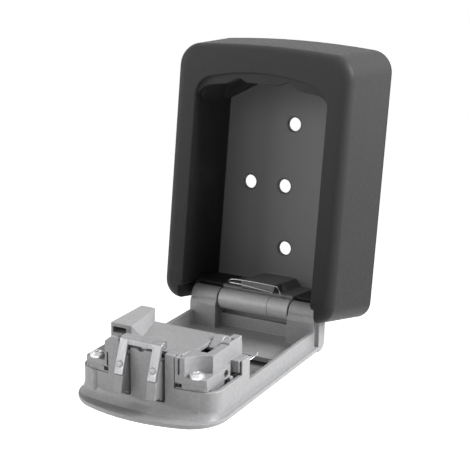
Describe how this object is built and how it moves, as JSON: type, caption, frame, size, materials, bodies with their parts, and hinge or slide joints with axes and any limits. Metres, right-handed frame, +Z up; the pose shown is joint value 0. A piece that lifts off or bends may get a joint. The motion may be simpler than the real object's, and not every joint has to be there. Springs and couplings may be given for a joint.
{
  "type": "key safe",
  "caption": "Wall key safe: a deep arched case with a drop-down door that carries a combination lock, its sprung latch hooks, a code lever and a weather shutter.",
  "frame": {"origin": "centre of the case's back face, on the wall", "axes": "+Y into the wall, +Z up, the door's side faces -Y, +X to the right for someone facing the safe"},
  "size_m": [0.0904, 0.1297, 0.1496],
  "materials": {
    "case_paint": "satin dark grey powder coat with a fine grain",
    "barrel_zinc": "satin grey, die-cast zinc",
    "pin_steel": "plain ground steel",
    "clip_steel": "bright spring wire",
    "door_zinc": "satin grey, die-cast zinc",
    "lock_zinc": "satin grey, die-cast zinc",
    "screw_steel": "bright plated steel",
    "dial_plastic": "black, with white numbers",
    "sleeve_brass": "plain turned brass",
    "axle_steel": "plain ground steel",
    "spring_steel": "plain spring wire",
    "washer_brass": "plain turned brass",
    "detent_steel": "plain spring strip",
    "slide_zinc": "satin grey, die-cast zinc",
    "hook_steel": "bright plated steel strip",
    "rivet_steel": "plain rivet heads",
    "lever_plastic": "black",
    "shutter_plastic": "black",
    "code_steel": "satin steel",
    "wire_steel": "bright spring wire"
  },
  "bodies": {
    "case": {"case_shell": "case_paint", "hinge_barrel": "barrel_zinc", "hinge_pin": "pin_steel", "wire_clip": "clip_steel"},
    "door": {"door_shell": "door_zinc", "lock_case": "lock_zinc", "case_screws": "screw_steel", "dial_axle": "axle_steel", "axle_spring": "spring_steel", "thrust_washer": "washer_brass", "detent_spring": "detent_steel", "latch_spring_left": "spring_steel", "latch_spring_right": "spring_steel", "return_wire": "wire_steel"},
    "dial_set_1": {"dial_1": "dial_plastic", "sleeve_1": "sleeve_brass"},
    "dial_set_2": {"dial_2": "dial_plastic", "sleeve_2": "sleeve_brass"},
    "dial_set_3": {"dial_3": "dial_plastic", "sleeve_3": "sleeve_brass"},
    "dial_set_4": {"dial_4": "dial_plastic", "sleeve_4": "sleeve_brass"},
    "latch": {"latch_slide": "slide_zinc", "latch_hook": "hook_steel", "hook_rivets": "rivet_steel"},
    "lever": {"open_lever": "lever_plastic"},
    "shutter": {"weather_shutter": "shutter_plastic"},
    "code": {"code_lever": "code_steel"}
  },
  "joints": [
    {"name": "door_hinge", "type": "hinge", "parent": "case", "child": "door", "pos_m": [0, -0.0248, -0.0573], "axis": [-1, 0, 0], "range_deg": [0, 97.5]},
    {"name": "dial_1_turn", "type": "hinge", "parent": "door", "child": "dial_set_1", "pos_m": [-0.0152, -0.09412, -0.07167], "axis": [1, 0, 0], "continuous": true},
    {"name": "dial_2_turn", "type": "hinge", "parent": "door", "child": "dial_set_2", "pos_m": [-0.0048, -0.09412, -0.07167], "axis": [1, 0, 0], "continuous": true},
    {"name": "dial_3_turn", "type": "hinge", "parent": "door", "child": "dial_set_3", "pos_m": [0.0056, -0.09412, -0.07167], "axis": [1, 0, 0], "continuous": true},
    {"name": "dial_4_turn", "type": "hinge", "parent": "door", "child": "dial_set_4", "pos_m": [0.016, -0.09412, -0.07167], "axis": [1, 0, 0], "continuous": true},
    {"name": "latch_travel", "type": "slide", "parent": "door", "child": "latch", "axis": [0, 0.9914, 0.1305], "range_m": [0, 0.005], "stiffness_N_per_m": 400, "springref_m": -0.005, "deforming": ["latch_spring_left", "latch_spring_right"]},
    {"name": "open_lever_travel", "type": "slide", "parent": "door", "child": "lever", "axis": [0, 0.9914, 0.1305], "range_m": [0, 0.005]},
    {"name": "shutter_travel", "type": "slide", "parent": "door", "child": "shutter", "axis": [0, -0.9914, -0.1305], "range_m": [0, 0.028]},
    {"name": "code_lever_travel", "type": "slide", "parent": "door", "child": "code", "axis": [0, -0.9914, -0.1305], "range_m": [0, 0.007]}
  ],
  "couplings": [
    {"joint": "open_lever_travel", "follows": "latch_travel", "ratio": 1}
  ]
}
